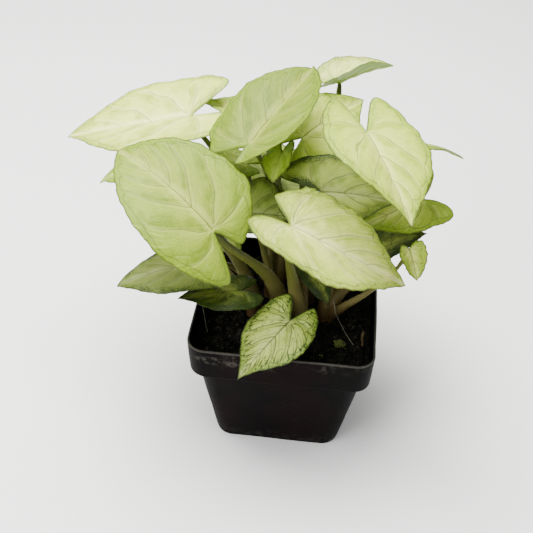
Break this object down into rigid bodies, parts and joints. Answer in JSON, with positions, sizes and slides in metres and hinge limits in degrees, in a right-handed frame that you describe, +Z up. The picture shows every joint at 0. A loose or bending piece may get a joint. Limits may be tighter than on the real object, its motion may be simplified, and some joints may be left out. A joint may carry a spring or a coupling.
{
  "type": "potted arrowhead plant",
  "caption": "Bushy young arrowhead plant with pale cream-green arrow-shaped leaves on slim stalks, growing in a small square black nursery pot.",
  "frame": {"origin": "centre of the pot's underside, on the surface it rests on", "axes": "+Z up; -Y towards the side of the plant that is mostly seen; the pot's sides lie along X and Y"},
  "size_m": [0.1542, 0.1152, 0.139],
  "materials": {
    "pot": "thin black nursery plastic, lightly scratched and dusty",
    "soil": "black, moist, lumpy potting mix; stone stands in for it",
    "shoot_left": "smooth pale olive stalks with tan sheathing bases; leather stands in for plant flesh",
    "shoot_middle": "smooth pale olive stalks with tan sheathing bases; leather stands in for plant flesh",
    "shoot_front": "smooth pale olive stalks with tan sheathing bases; leather stands in for plant flesh",
    "shoot_right": "smooth pale olive stalks with tan sheathing bases; leather stands in for plant flesh",
    "shoot_back": "smooth pale olive stalks with tan sheathing bases; leather stands in for plant flesh",
    "shoot_rear": "smooth pale olive stalks with tan sheathing bases; leather stands in for plant flesh",
    "blade_upper_left": "soft leaf, creamy green with whitish veins and a greener margin; leather stands in for plant flesh",
    "blade_left_front": "soft leaf, creamy green with whitish veins and a greener margin; leather stands in for plant flesh",
    "blade_top_middle": "soft leaf, creamy green with whitish veins and a greener margin; leather stands in for plant flesh",
    "blade_right_front": "soft leaf, creamy green with whitish veins and a greener margin; leather stands in for plant flesh",
    "blade_centre_front": "soft leaf, creamy green with whitish veins and a greener margin; leather stands in for plant flesh",
    "blade_low_front": "soft leaf, creamy green with whitish veins and a greener margin; leather stands in for plant flesh",
    "blade_middle_mottled": "soft leaf, pale centre, dark green mottled margin; leather stands in for plant flesh",
    "blade_right_low": "soft leaf, creamy green with whitish veins and a greener margin; leather stands in for plant flesh",
    "blade_right_dark": "soft leaf, pale centre, dark green mottled margin; leather stands in for plant flesh",
    "blade_right_small": "soft leaf, pale centre, dark green mottled margin; leather stands in for plant flesh",
    "blade_left_low_mottled": "soft leaf, pale centre, dark green mottled margin; leather stands in for plant flesh",
    "blade_left_low_dark": "soft leaf, pale centre, dark green mottled margin; leather stands in for plant flesh",
    "blade_middle_shaded": "soft leaf, pale centre, dark green mottled margin; leather stands in for plant flesh",
    "blade_middle_small": "soft leaf, fresh green; leather stands in for plant flesh",
    "blade_top_right_wide": "soft leaf, creamy green with whitish veins and a greener margin; leather stands in for plant flesh",
    "blade_back_left_high": "soft leaf, creamy green with whitish veins and a greener margin; leather stands in for plant flesh",
    "blade_top_folded": "soft leaf, fresh green; leather stands in for plant flesh",
    "blade_far_right": "soft leaf, creamy green with whitish veins and a greener margin; leather stands in for plant flesh",
    "blade_far_left": "soft leaf, creamy green with whitish veins and a greener margin; leather stands in for plant flesh",
    "blade_right_lowest": "soft leaf, pale centre, dark green mottled margin; leather stands in for plant flesh",
    "blade_back_left": "soft leaf, creamy green with whitish veins and a greener margin; leather stands in for plant flesh",
    "blade_back_middle": "soft leaf, creamy green with whitish veins and a greener margin; leather stands in for plant flesh",
    "blade_back_right": "soft leaf, creamy green with whitish veins and a greener margin; leather stands in for plant flesh",
    "blade_back_low_left": "soft leaf, pale centre, dark green mottled margin; leather stands in for plant flesh",
    "blade_back_low_right": "soft leaf, pale centre, dark green mottled margin; leather stands in for plant flesh"
  },
  "bodies": {
    "root": {"pot": "pot", "soil": "soil", "shoot_left": "shoot_left", "shoot_middle": "shoot_middle", "shoot_front": "shoot_front", "shoot_right": "shoot_right", "shoot_back": "shoot_back", "shoot_rear": "shoot_rear", "blade_upper_left": "blade_upper_left", "blade_left_front": "blade_left_front", "blade_top_middle": "blade_top_middle", "blade_right_front": "blade_right_front", "blade_centre_front": "blade_centre_front", "blade_low_front": "blade_low_front", "blade_middle_mottled": "blade_middle_mottled", "blade_right_low": "blade_right_low", "blade_right_dark": "blade_right_dark", "blade_right_small": "blade_right_small", "blade_left_low_mottled": "blade_left_low_mottled", "blade_left_low_dark": "blade_left_low_dark", "blade_middle_shaded": "blade_middle_shaded", "blade_middle_small": "blade_middle_small", "blade_top_right_wide": "blade_top_right_wide", "blade_back_left_high": "blade_back_left_high", "blade_top_folded": "blade_top_folded", "blade_far_right": "blade_far_right", "blade_far_left": "blade_far_left", "blade_right_lowest": "blade_right_lowest", "blade_back_left": "blade_back_left", "blade_back_middle": "blade_back_middle", "blade_back_right": "blade_back_right", "blade_back_low_left": "blade_back_low_left", "blade_back_low_right": "blade_back_low_right"}
  },
  "joints": []
}
